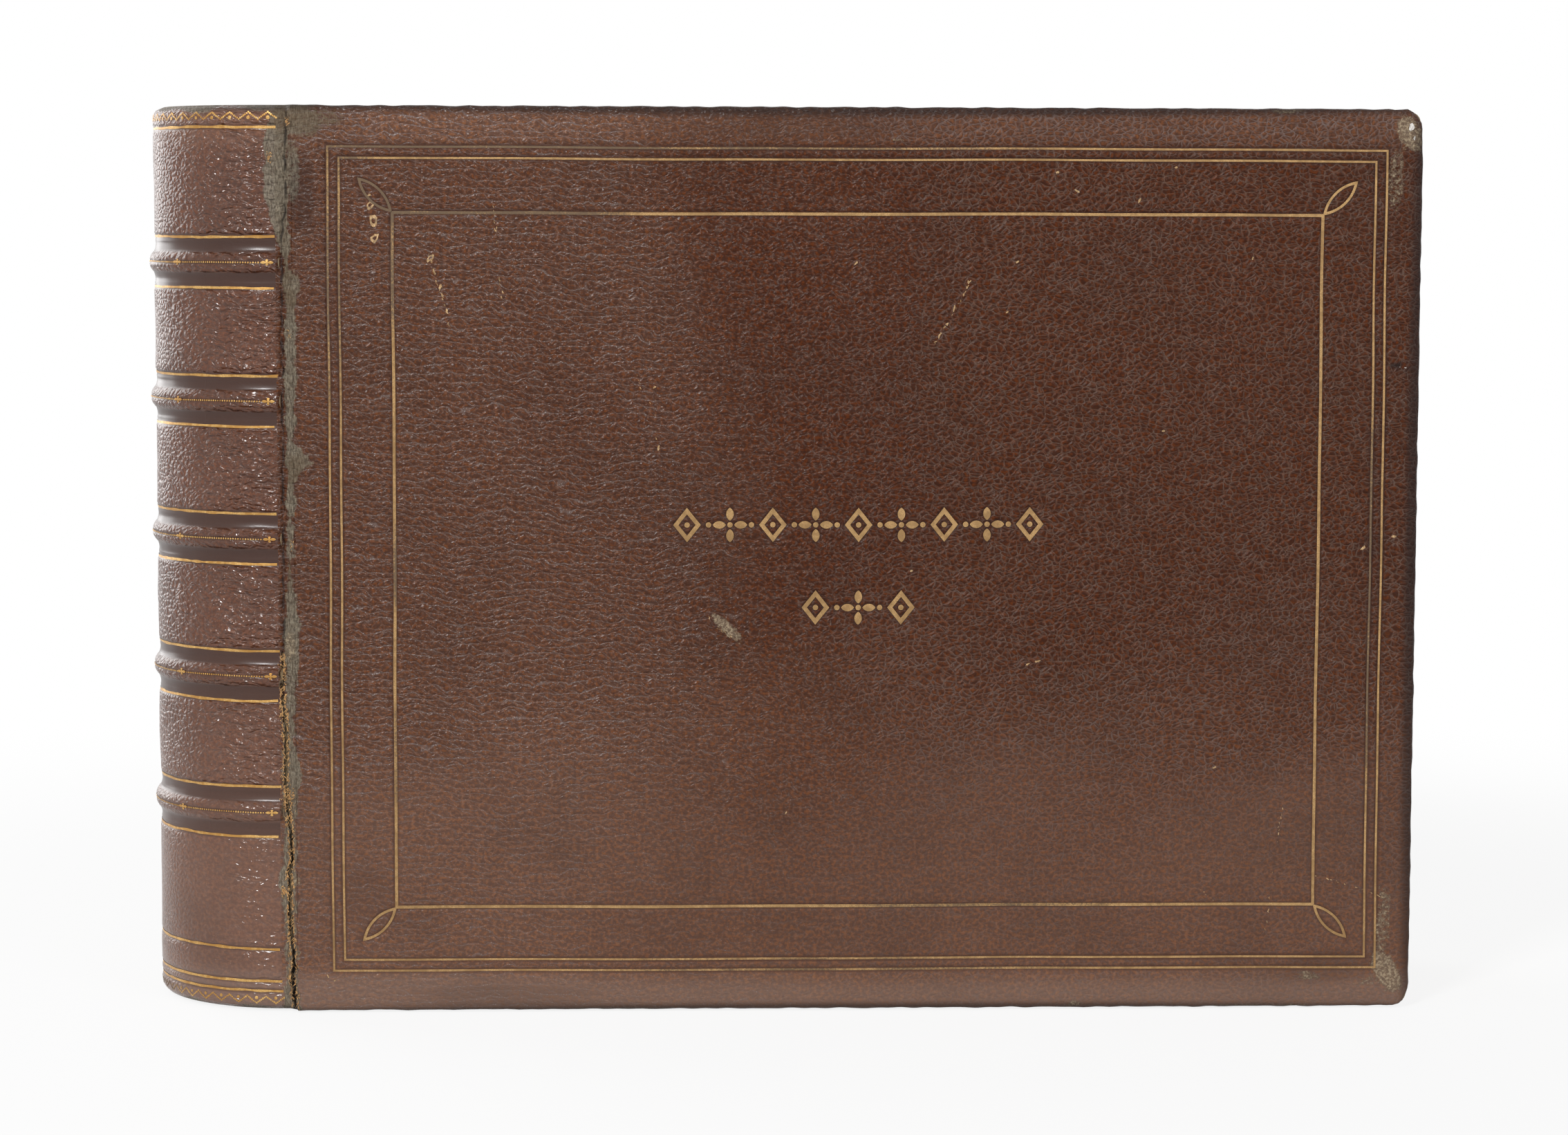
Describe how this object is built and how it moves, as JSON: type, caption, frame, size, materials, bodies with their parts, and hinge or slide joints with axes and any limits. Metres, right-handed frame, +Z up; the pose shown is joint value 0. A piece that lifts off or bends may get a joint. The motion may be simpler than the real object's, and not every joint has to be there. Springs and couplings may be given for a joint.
{
  "type": "photo album",
  "caption": "Large oblong photo album in full brown grained leather: round spine with raised bands, gilt rules, hinged covers and a thick block of card leaves.",
  "frame": {"origin": "middle of the bottom of the whole album, level with the tail edges it stands on", "axes": "+Z up the spine from tail to head, +X from the spine to the fore-edge, -Y out of the front cover"},
  "size_m": [0.3708, 0.0842, 0.262],
  "materials": {
    "leather": "satin",
    "gilt": "polished",
    "millboard": "matte",
    "leaf_card": "matte",
    "endpaper": "matte",
    "linen": "matte",
    "silk": "satin"
  },
  "bodies": {
    "book_block": {"page_block": "leaf_card", "front_flyleaf": "endpaper", "rear_flyleaf": "endpaper", "spine_lining": "linen", "head_band": "silk", "tail_band": "silk", "tape_1": "linen", "tape_2": "linen", "tape_3": "linen", "tape_4": "linen", "spring_back": "millboard", "band_1": "millboard", "band_2": "millboard", "band_3": "millboard", "band_4": "millboard", "band_5": "millboard", "spine_leather": "leather", "spine_gilding": "gilt"},
    "front_cover": {"front_board": "millboard", "front_cover_leather": "leather", "front_pastedown": "endpaper", "front_gilding": "gilt", "front_ornament": "gilt"},
    "rear_cover": {"rear_board": "millboard", "rear_cover_leather": "leather", "rear_pastedown": "endpaper"}
  },
  "joints": [
    {"name": "front_cover_hinge", "type": "hinge", "parent": "book_block", "child": "front_cover", "pos_m": [-0.1404, -0.0421, 0.131], "axis": [0, 0, -1], "range_deg": [0, 175]},
    {"name": "rear_cover_hinge", "type": "hinge", "parent": "book_block", "child": "rear_cover", "pos_m": [-0.1404, 0.0421, 0.131], "axis": [0, 0, 1], "range_deg": [0, 175]}
  ]
}
